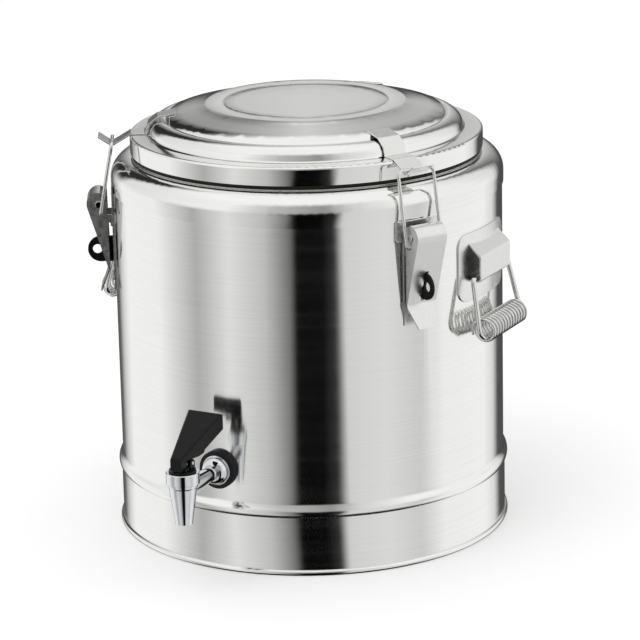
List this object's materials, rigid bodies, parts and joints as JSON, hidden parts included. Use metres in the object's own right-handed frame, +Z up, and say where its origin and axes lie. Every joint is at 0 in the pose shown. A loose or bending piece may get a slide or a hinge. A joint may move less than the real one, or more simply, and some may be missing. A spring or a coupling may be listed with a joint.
{
  "type": "insulated drink dispenser",
  "caption": "Double-walled steel drink urn with a clamped lift-off lid, toggle latches, bail handles with coil grips and a self-closing tap.",
  "frame": {"origin": "centre of the circle that the foot bead stands on", "axes": "+Z up along the urn's axis, the tap points along -Y, the bail handles along +X and -X"},
  "size_m": [0.4012, 0.4518, 0.3869],
  "materials": {
    "steel_wall": "circumferentially brushed, bright",
    "steel_bright": "polished",
    "steel_inner": "satin",
    "fitting_steel": "stamped and tumbled",
    "wire_steel": "drawn wire, bright",
    "tap_chrome": "polished plating",
    "black_plastic": "moulded, satin gloss",
    "black_paint": "satin black",
    "black_rubber": "matte",
    "clear_silicone": "translucent, matte",
    "insulation": "rigid foam"
  },
  "bodies": {
    "body": {"outer_shell": "steel_wall", "base_skirt": "steel_wall", "bottom_plate": "steel_inner", "shoulder_ring": "steel_bright", "inner_tank": "steel_inner", "body_foam": "insulation", "latch_rivets": "fitting_steel", "tap_sleeve": "black_plastic", "tap_gasket": "black_rubber", "tap_flange": "tap_chrome", "tap_body": "tap_chrome", "tap_washer": "clear_silicone", "tap_back_nut": "tap_chrome", "tap_collar_nut": "tap_chrome", "tap_bonnet": "black_plastic", "tap_valve_spring": "wire_steel", "tap_lever_pin": "fitting_steel", "latch_base_left": "fitting_steel", "latch_pin_left": "fitting_steel", "padlock_eye_left": "black_paint", "latch_base_right": "fitting_steel", "latch_pin_right": "fitting_steel", "padlock_eye_right": "black_paint", "latch_base_rear": "fitting_steel", "latch_pin_rear": "fitting_steel", "padlock_eye_rear": "black_paint", "handle_bracket_right": "fitting_steel", "handle_bracket_left": "fitting_steel"},
    "lid": {"lid_cover": "steel_bright", "lid_pan": "steel_inner", "lid_foam": "insulation", "lid_seal": "black_rubber", "lid_strap_left": "fitting_steel", "lid_strap_right": "fitting_steel", "lid_strap_rear": "fitting_steel"},
    "latch_lever_left": {"latch_lever_left": "fitting_steel"},
    "latch_hook_left": {"latch_hook_left": "wire_steel"},
    "latch_lever_right": {"latch_lever_right": "fitting_steel"},
    "latch_hook_right": {"latch_hook_right": "wire_steel"},
    "latch_lever_rear": {"latch_lever_rear": "fitting_steel"},
    "latch_hook_rear": {"latch_hook_rear": "wire_steel"},
    "bail_right": {"handle_bail_right": "wire_steel", "handle_coil_right": "wire_steel"},
    "bail_left": {"handle_bail_left": "wire_steel", "handle_coil_left": "wire_steel"},
    "tap_lever": {"tap_lever": "black_plastic"},
    "tap_valve": {"tap_valve_stem": "fitting_steel", "tap_cross_pin": "fitting_steel", "tap_seat_cup": "clear_silicone"}
  },
  "joints": [
    {"name": "lid_lift", "type": "slide", "parent": "body", "child": "lid", "axis": [0, 0, 1], "range_m": [0, 0.15]},
    {"name": "latch_lever_left_turn", "type": "hinge", "parent": "body", "child": "latch_lever_left", "pos_m": [-0.16247, -0.0938, 0.299], "axis": [-0.5, 0.866, 0], "range_deg": [0, 120]},
    {"name": "latch_hook_left_turn", "type": "hinge", "parent": "latch_lever_left", "child": "latch_hook_left", "pos_m": [-0.16117, -0.09305, 0.2901], "axis": [-0.5, 0.866, 0], "range_deg": [-110, 0]},
    {"name": "latch_lever_right_turn", "type": "hinge", "parent": "body", "child": "latch_lever_right", "pos_m": [0.16247, -0.0938, 0.299], "axis": [-0.5, -0.866, 0], "range_deg": [0, 120]},
    {"name": "latch_hook_right_turn", "type": "hinge", "parent": "latch_lever_right", "child": "latch_hook_right", "pos_m": [0.16117, -0.09305, 0.2901], "axis": [-0.5, -0.866, 0], "range_deg": [-110, 0]},
    {"name": "latch_lever_rear_turn", "type": "hinge", "parent": "body", "child": "latch_lever_rear", "pos_m": [0, 0.1876, 0.299], "axis": [1, 0, 0], "range_deg": [0, 120]},
    {"name": "latch_hook_rear_turn", "type": "hinge", "parent": "latch_lever_rear", "child": "latch_hook_rear", "pos_m": [0, 0.1861, 0.2901], "axis": [1, 0, 0], "range_deg": [-110, 0]},
    {"name": "bail_right_swing", "type": "hinge", "parent": "body", "child": "bail_right", "pos_m": [0.1802, 0, 0.2479], "axis": [0, -1, 0], "range_deg": [-4, 100]},
    {"name": "bail_left_swing", "type": "hinge", "parent": "body", "child": "bail_left", "pos_m": [-0.1802, 0, 0.2479], "axis": [0, 1, 0], "range_deg": [-4, 100]},
    {"name": "tap_lever_press", "type": "hinge", "parent": "body", "child": "tap_lever", "pos_m": [0, -0.2335, 0.1172], "axis": [-1, 0, 0], "range_deg": [0, 25], "stiffness_Nm_per_rad": 0.15, "springref_deg": -20.05},
    {"name": "tap_valve_lift", "type": "slide", "parent": "body", "child": "tap_valve", "axis": [0, 0, 1], "range_m": [0, 0.0019], "deforming": ["tap_valve_spring"]}
  ],
  "couplings": [
    {"joint": "latch_hook_left_turn", "follows": "latch_lever_left_turn", "ratio": -0.87},
    {"joint": "latch_hook_right_turn", "follows": "latch_lever_right_turn", "ratio": -0.87},
    {"joint": "latch_hook_rear_turn", "follows": "latch_lever_rear_turn", "ratio": -0.87},
    {"joint": "tap_lever_press", "follows": "tap_valve_lift", "rad_per_m": 220}
  ]
}
